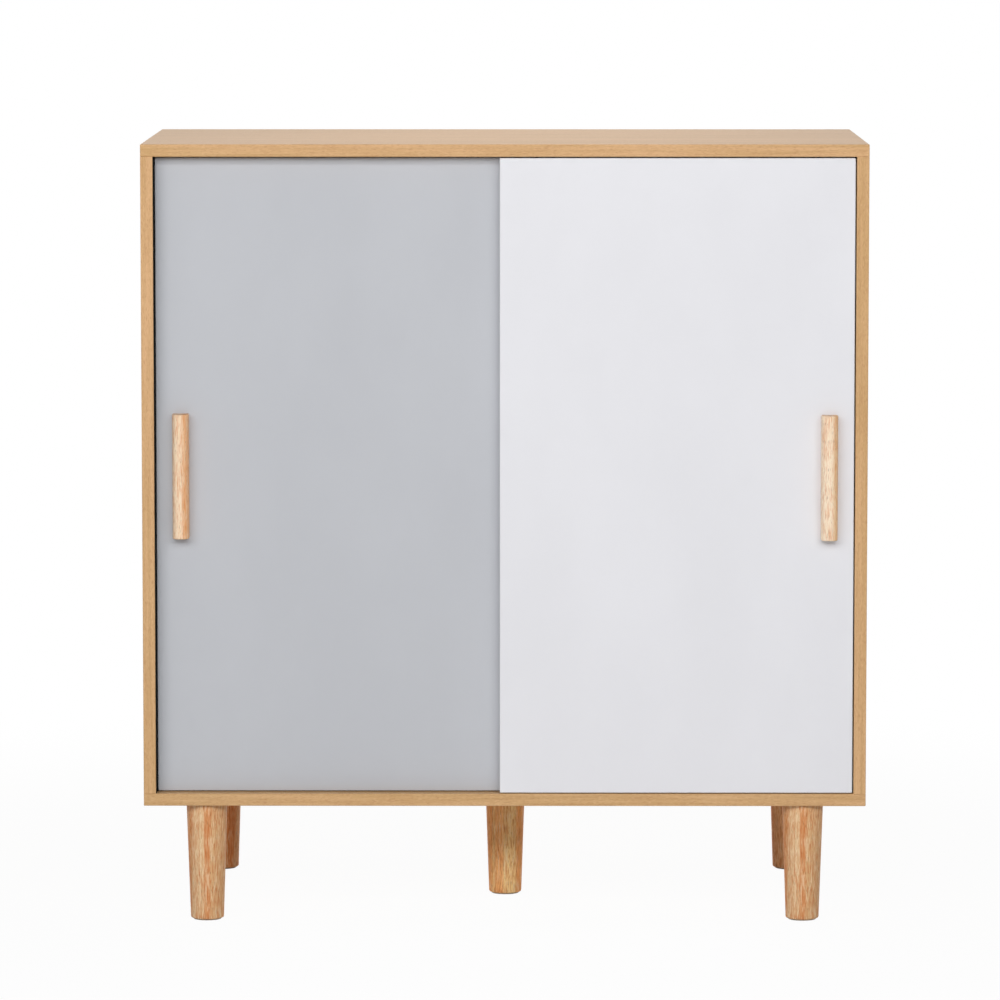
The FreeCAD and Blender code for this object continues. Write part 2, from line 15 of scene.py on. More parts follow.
import bpy
import numpy as np
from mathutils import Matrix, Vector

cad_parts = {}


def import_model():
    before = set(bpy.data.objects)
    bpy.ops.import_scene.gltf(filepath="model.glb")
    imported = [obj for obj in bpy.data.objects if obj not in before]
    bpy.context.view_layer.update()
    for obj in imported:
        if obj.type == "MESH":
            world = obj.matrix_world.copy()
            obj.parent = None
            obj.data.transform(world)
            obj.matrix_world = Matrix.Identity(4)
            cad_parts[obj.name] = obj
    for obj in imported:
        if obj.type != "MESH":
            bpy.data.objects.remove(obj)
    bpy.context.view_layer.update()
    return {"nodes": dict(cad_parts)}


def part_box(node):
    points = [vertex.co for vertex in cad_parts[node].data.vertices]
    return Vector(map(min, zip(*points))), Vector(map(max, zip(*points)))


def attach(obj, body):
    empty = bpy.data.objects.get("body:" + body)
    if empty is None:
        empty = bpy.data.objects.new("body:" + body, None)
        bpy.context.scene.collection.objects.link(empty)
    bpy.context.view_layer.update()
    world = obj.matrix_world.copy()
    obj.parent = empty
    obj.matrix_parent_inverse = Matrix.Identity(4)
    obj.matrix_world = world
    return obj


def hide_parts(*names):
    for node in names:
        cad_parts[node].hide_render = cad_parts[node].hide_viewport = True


LOG = logging.getLogger("cabinet")
GRAIN = "grain"  # the point attribute that holds a piece's place in its own piece of wood
SIDES = ("left", "right")
FULL_TURN = 2 * math.pi
ARC_POINTS = 7  # points along a rounded corner
CROSS_BAR = 0.24  # width of a cross recess's bars, as a share of its length

Value = Union["Signal", float]
Colour = tuple[float, float, float, float]
Point = tuple[float, float, float]
Stops = Sequence[tuple[float, Colour]]


def srgb(red: float, green: float, blue: float) -> Colour:
    """Linear colour, with an alpha of 1, of a screen's red, green and blue from 0 to 255."""
    screen = np.array([red, green, blue]) / 255
    curve = np.where(screen > 0.04045, ((screen + 0.055) / 1.055) ** 2.4, screen / 12.92)
    return (*curve.tolist(), 1.0)


def painted_light_staves(staves: Stops, tone: Point) -> Stops:
    """Staves with their linear red, green and blue times the tone's, which paints light or warm bounce light
    into a leg's wood.
    """
    colours = (tuple(min(1.0, part * share) for part, share in zip(colour, tone)) for _, colour in staves)
    return tuple((place, (*colour, 1.0)) for (place, _), colour in zip(staves, colours))


WHITE = srgb(255, 255, 255)


# Shader expressions


def operator(kind: str, swapped: bool = False) -> Callable[["Signal", Value], "Signal"]:
    """Method that makes a math node over a signal and another value, with that one first if swapped."""

    def method(self: "Signal", other: Value) -> "Signal":
        """The node's output."""
        return self.paint.math(kind, *((other, self) if swapped else (self, other)))

    return method


class Signal:
    """One output of a shader node, which takes part in Python arithmetic on either side of a number."""

    __add__, __radd__ = operator("ADD"), operator("ADD", swapped=True)
    __sub__, __rsub__ = operator("SUBTRACT"), operator("SUBTRACT", swapped=True)
    __mul__, __rmul__ = operator("MULTIPLY"), operator("MULTIPLY", swapped=True)
    __truediv__, __rtruediv__ = operator("DIVIDE"), operator("DIVIDE", swapped=True)
    __gt__ = operator("GREATER_THAN")  # 1 where self is over the other value, and 0 elsewhere
    most = operator("MAXIMUM")

    def __init__(self, paint: "Paint", socket: bpy.types.NodeSocket) -> None:
        """Keeps the socket and the paint whose nodes it belongs to."""
        self.paint = paint
        self.socket = socket

    def __abs__(self) -> "Signal":
        """Size of self without its sign."""
        return self.paint.math("ABSOLUTE", self)

    def rise(self, low: float, high: float) -> "Signal":
        """Smooth step from 0 at low to 1 at high, or down the other way where high is under low."""
        settings = {"interpolation_type": "SMOOTHSTEP"}
        inputs = {"Value": self, "From Min": low, "From Max": high}
        return self.paint.node("ShaderNodeMapRange", settings, inputs)


class Paint:
    """Node tree of a material or the world, written as expressions on signals."""

    MIX_FACTOR, MIX_FIRST, MIX_SECOND, MIX_RESULT = 0, 6, 7, 2  # a colour Mix node's sockets

    def __init__(self, holder: Union[bpy.types.Material, bpy.types.World]) -> None:
        """Empties the holder's node tree."""
        holder.use_nodes = True
        self.tree = holder.node_tree
        self.tree.nodes.clear()

    def node(
        self,
        kind: str,
        settings: Optional[dict[str, Any]] = None,
        inputs: Optional[dict[Union[str, int], Any]] = None,
        output: Union[str, int] = 0,
    ) -> Signal:
        """Adds any node.

        Args:
            kind: The node's type.
            settings: Its own properties, set first. "stops" holds a colour ramp's (place, colour) pairs.
            inputs: A value or a signal for each socket, by name or number.
            output: The socket that is handed back.

        Returns:
            That output.
        """
        made = self.tree.nodes.new(kind)
        for name, value in (settings or {}).items():
            if name == "stops":
                self._set_stops(made.color_ramp.elements, value)
            else:
                setattr(made, name, value)
        for key, value in (inputs or {}).items():
            if isinstance(value, Signal):
                self.tree.links.new(value.socket, made.inputs[key])
            else:
                made.inputs[key].default_value = value
        return Signal(self, made.outputs[output])

    @staticmethod
    def _set_stops(elements: Any, stops: Stops) -> None:
        """Gives a colour ramp, which starts with two stops, exactly these."""
        while len(elements) < len(stops):
            elements.new(1.0)
        for element, (place, colour) in zip(elements, stops):
            element.position = place
            element.color = colour

    def math(self, operation: str, *values: Value) -> Signal:
        """Math node over the values, in order."""
        return self.node("ShaderNodeMath", {"operation": operation}, dict(enumerate(values)))

    def scaled(self, vector: Signal, factors: Union[float, Point]) -> Signal:
        """The vector times one factor, or with each axis times its own."""
        inputs = {0: vector, 1: np.broadcast_to(factors, 3).tolist()}
        return self.node("ShaderNodeVectorMath", {"operation": "MULTIPLY"}, inputs)

    def place(self) -> Signal:
        """Where the surface is, in the object's own coordinates."""
        return self.node("ShaderNodeTexCoord", output="Object")

    def grain_place(self) -> Signal:
        """Where the surface is in the piece of wood that it was cut from."""
        return self.node("ShaderNodeAttribute", {"attribute_name": GRAIN}, output="Vector")

    def facing(self) -> tuple[Signal, Signal, Signal]:
        """The three parts of the surface's true normal."""
        return self.split(self.node("ShaderNodeNewGeometry", output="True Normal"))

    def split(self, vector: Signal) -> tuple[Signal, Signal, Signal]:
        """The three parts of a vector."""
        outputs = self.node("ShaderNodeSeparateXYZ", inputs={0: vector}).socket.node.outputs
        return Signal(self, outputs[0]), Signal(self, outputs[1]), Signal(self, outputs[2])

    def join(self, x: Value, y: Value, z: Value) -> Signal:
        """The vector with those three parts."""
        return self.node("ShaderNodeCombineXYZ", inputs={0: x, 1: y, 2: z})

    def noise(
        self, vector: Signal, clouds: Union[float, Point], detail: float = 2.0, bend: float = 0.0
    ) -> Signal:
        """Cloudy noise about 0.5.

        Args:
            vector: Place.
            clouds: Clouds in a metre, as one number or one for each axis.
            detail: Number of finer layers.
            bend: How far the noise bends itself.

        Returns:
            Its strength.
        """
        inputs = {"Vector": self.scaled(vector, clouds), "Scale": 1.0, "Detail": detail, "Distortion": bend}
        return self.node("ShaderNodeTexNoise", None, inputs)

    def cells(self, vector: Signal, cells: Union[float, Point], output: str) -> Signal:
        """Voronoi cells, so many in a metre: their "Distance" or random "Color"."""
        inputs = {"Vector": self.scaled(vector, cells), "Scale": 1.0}
        return self.node("ShaderNodeTexVoronoi", None, inputs, output)

    def ramp(self, factor: Signal, stops: Stops) -> Signal:
        """Colour ramp through pairs of place and colour."""
        return self.node("ShaderNodeValToRGB", {"stops": stops}, {0: factor})

    def mix(self, factor: Value, first: Any, second: Any) -> Signal:
        """Colour that goes from first to second as factor goes from 0 to 1."""
        inputs = {self.MIX_FACTOR: factor, self.MIX_FIRST: first, self.MIX_SECOND: second}
        return self.node("ShaderNodeMix", {"data_type": "RGBA"}, inputs, self.MIX_RESULT)

    def coated(self, ground: Signal, *coats: tuple[Value, Any]) -> Signal:
        """Colour of a ground under coats, each a share and a colour, laid on in order."""
        for share, colour in coats:
            ground = self.mix(share, ground, colour)
        return ground

    def bump(self, height: Signal, depth: float, strength: float = 1.0) -> Signal:
        """Normal bent by relief, where a height of 1 stands for the depth in metres."""
        return self.node("ShaderNodeBump", None, {"Strength": strength, "Distance": depth, "Height": height})

    def surface(self, **inputs: Any) -> Signal:
        """Principled shader, with each socket's name written with _ for a space."""
        named = {key.replace("_", " "): value for key, value in inputs.items()}
        return self.node("ShaderNodeBsdfPrincipled", None, named)

    def finish(self, shader: Signal, kind: str = "ShaderNodeOutputMaterial") -> None:
        """Leads the shader to the tree's output node."""
        made = self.tree.nodes.new(kind)
        self.tree.links.new(shader.socket, made.inputs["Surface"])


# Finishes


class Grain(Enum):
    """The way a board's printed grain runs, as the order in which x, y and z are read."""

    ACROSS_FRONT = (0, 1, 2)
    UPRIGHT = (2, 0, 1)


@dataclass(frozen=True)
class Finish:
    """A material, described by what can be seen of it."""

    name: str

    @cached_property
    def material(self) -> bpy.types.Material:
        """The finish's material, built when it is first asked for."""
        material = bpy.data.materials.new(self.name)
        paint = Paint(material)
        paint.finish(self.shade(paint))
        return material

    def shade(self, paint: Paint) -> Signal:
        """Writes the finish's nodes and hands back its shader."""
        raise NotImplementedError


@dataclass(frozen=True)
class BeechDecor(Finish):
    """Beech print on board, with banded edges and a raw rear edge.

    The print has broad growth bands, streaks along the grain and short dark ray flecks. Each layer is
    noise that is stretched along the grain.
    """

    grain: Grain = Grain.ACROSS_FRONT
    front_edge: float = -1.0  # y of the board's front edge
    end: float = 1.0  # |x| of its ends, where they are banded
    raw_back: float = 1.0  # y past which the rear edge is bare board
    seed: float = 0.0
    band: float = 0.001  # thickness of the edge band
    seam: float = 0.000125  # half the width of the glue line beside it
    pink: Colour = srgb(217, 174, 128)
    straw: Colour = srgb(207, 170, 117)
    fleck: Colour = srgb(166, 108, 62)
    pale: Colour = srgb(228, 190, 146)
    glue: Colour = srgb(150, 112, 76)

    def _wood_place(self, paint: Paint, place: Sequence[Signal], sideways: Signal) -> Signal:
        """Place with the grain's way first; on a banded end the grain runs along the band."""
        along, across, through = (place[axis] for axis in self.grain.value)
        if self.grain is Grain.UPRIGHT:
            return paint.join(along + self.seed, across, through)
        keep = 1.0 - sideways
        return paint.join(
            along * keep + across * sideways + self.seed,
            across * keep + through * sideways,
            through * keep + along * sideways,
        )

    def _glue_line(self, place: Sequence[Signal], normal: Sequence[Signal]) -> Signal:
        """1 on the glue line where a face meets an edge band."""
        front = abs(place[1] - (self.front_edge + self.band)).rise(self.seam * 2, self.seam)
        ends = abs(abs(place[0]) - (self.end - self.band)).rise(self.seam * 2, self.seam)
        on_face = 1.0 - abs(normal[1]).rise(0.3, 0.6)
        return front.most(ends * abs(normal[2])) * on_face

    def _raw_board(self, paint: Paint, vector: Signal) -> tuple[Signal, Signal]:
        """Colour and relief of bare particle board: chips in random browns, coarser along the board."""
        size = (420.0, 420.0, 700.0)
        chips = paint.split(paint.cells(vector, size, "Color"))[0]
        gaps = paint.cells(vector, size, "Distance").rise(0.45, 0.75)
        browns = [(0.0, srgb(146, 112, 76)), (0.45, srgb(182, 147, 104)), (1.0, srgb(206, 175, 131))]
        return paint.mix(gaps * 0.45, paint.ramp(chips, browns), srgb(108, 80, 54)), chips

    def shade(self, paint: Paint) -> Signal:
        """Print, bands and raw rear edge under one matt skin."""
        vector = paint.place()
        place, normal = paint.split(vector), paint.facing()
        wood = self._wood_place(paint, place, abs(normal[0]).rise(0.4, 0.6))
        bands = paint.noise(wood, (1.6, 34.0, 34.0), 3.0, 0.6)
        streaks = paint.noise(wood, (9.0, 330.0, 330.0), 3.0)
        fibres = paint.noise(wood, (45.0, 1500.0, 1500.0))
        rays = paint.noise(wood, (190.0, 1250.0, 1250.0), 1.0).rise(0.55, 0.66)
        glints = paint.noise(wood, (150.0, 1000.0, 1000.0), 1.0).rise(0.46, 0.34)
        tone = 0.5 + (bands - 0.5) * 1.9 + (streaks - 0.5) * 1.5
        shadow = (fibres - 0.5) * 0.5 + (streaks - 0.5) * 0.7 + (bands - 0.5) * 0.35 + 0.12
        raw = (place[1] > self.raw_back) * (normal[1] > 0.5)
        raw_colour, chips = self._raw_board(paint, vector)
        colour = paint.coated(
            paint.mix(tone, self.pink, self.straw),
            (shadow, self.fleck),
            (glints * 0.3, self.pale),
            (rays * 0.32, self.fleck),
            (self._glue_line(place, normal) * 0.5, self.glue),
            (raw, raw_colour),
        )
        return paint.surface(
            Base_Color=colour,
            Roughness=0.35 + fibres * 0.1 + raw * 0.4,
            Normal=paint.bump(fibres * 0.5 + rays * -0.5 + raw * chips * 2.0, 0.00006),
        )


@dataclass(frozen=True)
class Lacquer(Finish):
    """Sprayed satin lacquer: an even colour with a faint orange peel and slight cloudiness in its sheen."""

    colour: Colour = srgb(232, 232, 236)
    cloud_colour: Colour = srgb(229, 229, 233)
    roughness: float = 0.4
    gloss: float = 0.3  # specular level

    def shade(self, paint: Paint) -> Signal:
        """Cloud, sheen and peel are noise at three sizes."""
        vector = paint.place()
        cloud = paint.noise(vector, (7.0, 7.0, 4.0), 3.0).rise(0.3, 0.7)
        sheen = paint.noise(vector, 38.0, 3.0)
        peel = paint.noise(vector, 520.0, 1.0)
        return paint.surface(
            Base_Color=paint.mix(cloud, self.colour, self.cloud_colour),
            Roughness=self.roughness - 0.03 + sheen * 0.06,
            Normal=paint.bump(peel, 0.00004, 0.5),
            Specular_IOR_Level=self.gloss,
        )


@dataclass(frozen=True)
class Rubberwood(Finish):
    """Clear-lacquered rubberwood glued up from staves.

    The staves stand side by side in the grain's x, each with its own tone. Over them lie broad figure,
    swaying strands, and short dark pores, all noise stretched along the grain's z. End grain is darker.
    """

    staves: Stops = ()
    span: float = 0.05  # width over which the staves are laid out, centred on the grain's origin
    light: Colour = srgb(246, 222, 186)
    streak: Colour = srgb(202, 116, 62)
    pore: Colour = srgb(128, 72, 40)
    streaks: float = 0.62  # how strongly the dark strands show
    highlights: float = 0.5  # how strongly the light strands show
    gloss: float = 0.12  # specular level, where 0.5 is a plain clear lacquer

    def shade(self, paint: Paint) -> Signal:
        """Staves, figure, strands and pores under a satin coat."""
        vector = paint.grain_place()
        x, y, z = paint.split(vector)
        sway = (paint.noise(vector, (45.0, 45.0, 16.0)) - 0.5) * 0.006
        wood = paint.join(x + sway, y + sway, z)
        figure = paint.noise(wood, (210.0, 210.0, 9.0), 3.0)
        strands = paint.noise(wood, (820.0, 820.0, 54.0))
        threads = paint.noise(wood, (1200.0, 1200.0, 120.0))
        pores = paint.noise(wood, (1150.0, 1150.0, 120.0), 1.0).rise(0.62, 0.72)
        end_grain = abs(paint.facing()[2]).rise(0.8, 0.95)
        colour = paint.coated(
            paint.ramp(x / self.span + 0.5, self.staves),
            (figure.rise(0.48, 0.72) * self.streaks * 0.75, self.streak),
            (strands.rise(0.5, 0.66) * self.streaks, self.streak),
            (strands.rise(0.5, 0.34) * self.highlights, self.light),
            (threads.rise(0.5, 0.66) * self.streaks * 0.7, self.streak),
            (pores * 0.45, self.pore),
            (end_grain * 0.35, self.pore),
        )
        return paint.surface(
            Base_Color=colour,
            Roughness=0.42 + threads * 0.14 + end_grain * 0.2,
            Normal=paint.bump(threads * 0.5 - pores, 0.00012, 0.6),
            Specular_IOR_Level=self.gloss,
        )


@dataclass(frozen=True)
class PullWood(Rubberwood):
    """Rubberwood for a pull: narrow staves, faint warm strands and a glossier coat."""

    span: float = 0.02
    streak: Colour = srgb(218, 136, 68)
    streaks: float = 0.5
    gloss: float = 0.3


@dataclass(frozen=True)
class Hardboard(Finish):
    """Thin fibreboard: pressed brown fibres outside, beech print inside."""

    outer_face: float = 1.0  # y past which the raw side shows

    def shade(self, paint: Paint) -> Signal:
        """Fibres are two crossed noises, with a few dark specks of bark."""
        vector = paint.place()
        outside = paint.split(vector)[1] > self.outer_face
        mat = paint.noise(vector, (90.0, 90.0, 60.0), 5.0, 1.5)
        fibre = paint.noise(vector, (900.0, 900.0, 260.0), 2.0, 0.8)
        cross = paint.noise(vector, (240.0, 900.0, 900.0), 2.0, 0.8)
        specks = paint.noise(vector, 520.0, 0.0).rise(0.74, 0.80)
        tone = mat * 0.5 + fibre * 0.35 + cross * 0.35 - 0.1
        fibres = paint.ramp(tone, [(0.3, srgb(150, 112, 74)), (0.7, srgb(190, 152, 108))])
        raw = paint.mix(specks * 0.6, fibres, srgb(96, 64, 38))
        streaks = paint.noise(vector, (330.0, 330.0, 9.0), 3.0)
        bands = paint.noise(vector, (34.0, 34.0, 1.6), 3.0)
        face = paint.mix((streaks + bands) * 1.2 - 0.7, srgb(217, 181, 141), srgb(205, 168, 122))
        return paint.surface(
            Base_Color=paint.mix(outside, face, raw),
            Roughness=0.5 + outside * 0.3 + fibre * 0.08,
            Normal=paint.bump((fibre + cross) * outside, 0.00008),
        )


@dataclass(frozen=True)
class MouldedPlastic(Finish):
    """Injection moulded plastic with a fine spark-eroded texture."""

    colour: Colour = srgb(44, 44, 46)
    roughness: float = 0.45
    texture: float = 1.0  # how deep the surface texture is

    def shade(self, paint: Paint) -> Signal:
        """Texture is fine noise; the colour is a little paler where the mould was dull."""
        vector = paint.place()
        grit = paint.noise(vector, 1700.0)
        dull = paint.noise(vector, 60.0, 3.0)
        paler = (*(min(1.0, part * 1.25 + 0.004) for part in self.colour[:3]), 1.0)
        return paint.surface(
            Base_Color=paint.mix(dull.rise(0.35, 0.75) * 0.5, self.colour, paler),
            Roughness=self.roughness + grit * 0.1 + dull * 0.06,
            Normal=paint.bump(grit, 0.00003 * self.texture),
        )


@dataclass(frozen=True)
class PlatedMetal(Finish):
    """Zinc-plated or die-cast metal: cloudy sheen and fine rubbed lines."""

    colour: Colour = srgb(198, 199, 202)
    cloud_colour: Colour = srgb(170, 173, 178)
    roughness: float = 0.3
    casting: float = 0.0  # depth of a cast surface's grain, from 0 to 1

    def shade(self, paint: Paint) -> Signal:
        """Clouds in the plating, lines where it was rubbed, and the casting's grain."""
        vector = paint.place()
        clouds = paint.noise(vector, 260.0, 3.0)
        lines = paint.noise(vector, (4000.0, 300.0, 300.0))
        grain = paint.noise(vector, 1900.0)
        return paint.surface(
            Base_Color=paint.mix(clouds.rise(0.35, 0.7), self.colour, self.cloud_colour),
            Metallic=1.0,
            Roughness=self.roughness + clouds * 0.12 + lines * 0.06,
            Normal=paint.bump(grain * self.casting + lines * 0.25, 0.00004),
        )


@dataclass(frozen=True)
class Felt(Finish):
    """Pressed wool felt: matted fibres, a little lint and a soft sheen."""

    def shade(self, paint: Paint) -> Signal:
        """Fibres are strongly bent noise."""
        vector = paint.place()
        mat = paint.noise(vector, 700.0, 4.0, 3.0)
        lint = paint.noise(vector, 2600.0, 2.0, 2.0)
        return paint.surface(
            Base_Color=paint.ramp(mat, [(0.3, srgb(176, 166, 150)), (0.7, srgb(222, 214, 200))]),
            Roughness=0.92,
            Sheen_Weight=0.4,
            Normal=paint.bump(mat + lint * 0.5, 0.0003),
        )


@dataclass(frozen=True)
class FoamStrip(Finish):
    """Closed-cell black foam with its skin on."""

    def shade(self, paint: Paint) -> Signal:
        """Cells show as fine pits under a little dust."""
        vector = paint.place()
        pits = paint.cells(vector, 1500.0, "Distance")
        dust = paint.noise(vector, (120.0, 120.0, 60.0), 3.0).rise(0.45, 0.8)
        return paint.surface(
            Base_Color=paint.mix(dust * 0.5, srgb(3, 3, 3), srgb(10, 10, 10)),
            Roughness=0.85 + pits * 0.1,
            Specular_IOR_Level=0.1,
            Normal=paint.bump(pits, 0.0001, 0.6),
        )


@dataclass(frozen=True)
class DowelBeech(Finish):
    """Plain turned beech."""

    def shade(self, paint: Paint) -> Signal:
        """Streaks and flecks along z."""
        vector = paint.place()
        streaks = paint.noise(vector, (700.0, 700.0, 30.0), 3.0)
        flecks = paint.noise(vector, (2200.0, 2200.0, 400.0), 1.0).rise(0.6, 0.7)
        tone = paint.mix(streaks, srgb(222, 192, 150), srgb(198, 160, 116))
        return paint.surface(
            Base_Color=paint.mix(flecks * 0.4, tone, srgb(160, 118, 80)),
            Roughness=0.6 + streaks * 0.1,
            Normal=paint.bump(streaks, 0.00008),
        )


PALE, TAN = srgb(230, 196, 152), srgb(221, 180, 132)
ORANGE, AMBER = srgb(219, 160, 110), srgb(214, 154, 100)
CREAM, APRICOT = srgb(249, 224, 194), srgb(238, 186, 140)
IVORY, HONEY = srgb(253, 234, 208), srgb(246, 206, 160)
LEG_STAVES = ((0.13, AMBER), (0.16, PALE), (0.42, PALE), (0.47, ORANGE), (0.57, ORANGE), (0.62, TAN))
CENTRE_LEG_STAVES = (
    (0.16, AMBER), (0.22, TAN), (0.27, ORANGE), (0.42, ORANGE), (0.48, TAN), (0.76, TAN), (0.8, AMBER)
)

WHITE_LACQUER = Lacquer("white_lacquer")
GREY_LACQUER = Lacquer("grey_lacquer", colour=srgb(194, 196, 201), cloud_colour=srgb(191, 193, 198))
LEG_WOOD = Rubberwood("rubberwood_legs", staves=LEG_STAVES)
# Painted light: the centre leg's staves are made paler to stand in for light that the lamps leave out under
# the case.
PAINTED_LIGHT_LEG_WOOD = Rubberwood("rubberwood_painted_light", staves=painted_light_staves(CENTRE_LEG_STAVES, (1.68, 1.58, 1.46)))
# Painted light: the rear legs' staves are made redder to stand in for warm bounce light in their shade.
PAINTED_BOUNCE_LEG_WOOD = Rubberwood("rubberwood_painted_bounce", staves=painted_light_staves(LEG_STAVES, (1.22, 1.04, 0.95)))
# Painted light: the pulls' staves are paler than the legs', the right pull's palest, to stand in for the
# brighter light on the pulls.
GREY_PULL_WOOD = PullWood("rubberwood_left_pull_painted_light", staves=((0.55, CREAM), (0.75, APRICOT)))
WHITE_PULL_WOOD = PullWood("rubberwood_right_pull_painted_light", staves=((0.6, IVORY), (0.85, HONEY)))
TRACK_PLASTIC = MouldedPlastic("track_plastic", colour=srgb(174, 142, 104), roughness=0.4, texture=0.3)
STRIP_PLASTIC = MouldedPlastic("strip_plastic", colour=srgb(196, 164, 126), roughness=0.4, texture=0.3)
HOUSING_PLASTIC = MouldedPlastic("housing_plastic")
NYLON = MouldedPlastic("white_nylon", colour=srgb(226, 225, 218), roughness=0.35, texture=0.5)
STEEL = PlatedMetal("plated_steel")
ZINC = PlatedMetal("cast_zinc", roughness=0.42, casting=1.0)
FELT = Felt("felt")
FOAM = FoamStrip("foam_strip")
DOWEL_WOOD = DowelBeech("dowel_beech")


# Surfaces


class Axis(Enum):
    """The way a turned piece's axis points, as rows that give x, y and z from (a, b, along)."""

    UP = ((1, 0, 0), (0, 1, 0), (0, 0, 1))
    FORWARD = ((1, 0, 0), (0, 0, -1), (0, 1, 0))

    def lay(self, points: np.ndarray, origin: Point) -> np.ndarray:
        """Local points, two numbers across the axis and one along it, on the axis from the origin."""
        return points @ np.array(self.value, float).T + np.array(origin)


@dataclass
class Shell:
    """Closed surface on a grid of rings.

    Each ring holds the same number of points, and neighbouring rings are joined by quads. With poles,
    the first and last ring are closed by fans of triangles. Without, they are joined to each other.
    """

    rings: np.ndarray
    poles: Optional[np.ndarray] = None

    def points(self) -> np.ndarray:
        """Every point, ring after ring, then the poles."""
        flat = self.rings.reshape(-1, 3)
        return flat if self.poles is None else np.concatenate([flat, self.poles])

    def faces(self) -> tuple[np.ndarray, np.ndarray]:
        """Index arrays of the faces, turned outwards.

        Returns:
            The quads and the triangles. The winding is reversed where the enclosed volume, the sum of
            each triangle's a . (b x c) / 6, would be negative.
        """
        rows, around = self.rings.shape[:2]
        step = np.arange(around)
        after = (step + 1) % around
        first = np.arange(rows if self.poles is None else rows - 1)[:, None]
        here, there = first * around, (first + 1) % rows * around
        quads = np.stack([here + step, here + after, there + after, there + step], axis=-1).reshape(-1, 4)
        fans = np.empty((0, 3), int)
        if self.poles is not None:
            end = (rows - 1) * around
            low = np.stack([np.full(around, rows * around), after, step], axis=-1)
            high = np.stack([np.full(around, rows * around + 1), end + step, end + after], axis=-1)
            fans = np.concatenate([low, high])
        corners = self.points()[np.concatenate([quads[:, [0, 1, 2]], quads[:, [0, 2, 3]], fans])]
        volume = np.einsum("ij,ij->i", corners[:, 0], np.cross(corners[:, 1], corners[:, 2])).sum()
        return (quads, fans) if volume > 0 else (quads[:, ::-1], fans[:, ::-1])


@dataclass
class GrainPlace:
    """Where a piece lies in the wood that it was cut from."""

    origin: Point
    turn: float = 0.0  # degrees about z
    shift: Point = (0.0, 0.0, 0.0)

    def of(self, points: np.ndarray) -> np.ndarray:
        """The points seen from the origin, turned about z and shifted."""
        sine, cosine = math.sin(math.radians(self.turn)), math.cos(math.radians(self.turn))
        turning = np.array([[cosine, -sine, 0], [sine, cosine, 0], [0, 0, 1]])
        return (points - np.array(self.origin)) @ turning.T + np.array(self.shift)


def filleted(corners: Sequence[Point]) -> np.ndarray:
    """Outline through corners that are rounded by arcs.

    The arc at a corner touches both sides at radius / tan(half the corner's angle) from it. Its points
    turn evenly from the first touching point to the second, about the centre that is radius from both.

    Args:
        corners: The two coordinates of each corner and its radius, 0 for a sharp one. The last corner
            is next to the first, so an open outline has a sharp one at each end.

    Returns:
        The outline's points, one row each.
    """
    steps = np.linspace(0, 1, ARC_POINTS)[:, None]
    corner = np.array(corners, float)[:, :2]
    before, ahead = np.roll(corner, 1, axis=0) - corner, np.roll(corner, -1, axis=0) - corner
    pieces = []
    for index, (_, _, radius) in enumerate(corners):
        if radius == 0:
            pieces.append(corner[index : index + 1])
            continue
        back = before[index] / np.linalg.norm(before[index])
        on = ahead[index] / np.linalg.norm(ahead[index])
        half = math.acos(float(np.clip(back @ on, -1, 1))) / 2
        middle = (back + on) / np.linalg.norm(back + on) * radius / math.sin(half)
        start, end = (way * radius / math.tan(half) - middle for way in (back, on))
        sweep = math.pi - 2 * half
        arc = (np.sin((1 - steps) * sweep) * start + np.sin(steps * sweep) * end) / math.sin(sweep)
        pieces.append(corner[index] + middle + arc)
    return np.concatenate(pieces)


def angles(around: int) -> np.ndarray:
    """So many even angles round a full turn."""
    return np.linspace(0, FULL_TURN, around, endpoint=False)


def turned(profile: np.ndarray, axis: Axis, origin: Point, around: int, closed: bool = False) -> Shell:
    """Surface of rings about an axis.

    The point at angle t on a ring is (radius cos t, radius sin t, height) before it is laid on the axis.

    Args:
        profile: A row for each ring: its radius, or its radius at each angle, and last its height.
        axis: The way the axis points.
        origin: Where height 0 lies.
        around: Points in each ring.
        closed: Whether the profile runs back into itself, as on a wheel, and has no poles.

    Returns:
        The shell.
    """
    angle = angles(around)
    radius, height = profile[:, :-1] * np.ones(around), profile[:, -1:]
    local = np.stack([radius * np.cos(angle), radius * np.sin(angle), height + 0 * radius], axis=-1)
    ends = np.array([[0, 0, height[0, 0]], [0, 0, height[-1, 0]]])
    return Shell(axis.lay(local, origin), None if closed else axis.lay(ends, origin))


def shown(name: str, data: bpy.types.ID) -> bpy.types.Object:
    """New object in the scene, at the origin, for a mesh, a lamp or a camera."""
    made = bpy.data.objects.new(name, data)
    bpy.context.scene.collection.objects.link(made)
    return made


@dataclass
class Piece:
    """One finished piece: its shells, its finish and what it stands for."""

    name: str
    shells: Sequence[Shell]
    finish: Finish
    slot: str
    body: str
    stands_for: str
    grain: Optional[GrainPlace] = None
    crease: float = 35.0  # degrees past which an edge is sharp

    def make(self) -> None:
        """Puts the shells into one mesh, whose object is at the origin, and sets it on its body."""
        points, faces, start = [], [], 0
        for shell in self.shells:
            quads, fans = shell.faces()
            faces += (quads + start).tolist() + (fans + start).tolist()
            points.append(shell.points())
            start += len(points[-1])
        together = np.concatenate(points)
        mesh = bpy.data.meshes.new(self.name)
        mesh.from_pydata(together.tolist(), [], faces)
        mesh.polygons.foreach_set("use_smooth", np.ones(len(faces), bool))
        mesh.set_sharp_from_angle(angle=math.radians(self.crease))
        if self.grain is not None:
            attribute = mesh.attributes.new(GRAIN, "FLOAT_VECTOR", "POINT")
            attribute.data.foreach_set("vector", self.grain.of(together).astype(np.float32).ravel())
        mesh.materials.append(self.finish.material)
        made = shown(self.name, mesh)
        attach(made, self.body)
        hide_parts(self.stands_for)
        LOG.info("%s: %d faces in %s, for %s", self.name, len(faces), self.finish.name, self.stands_for)


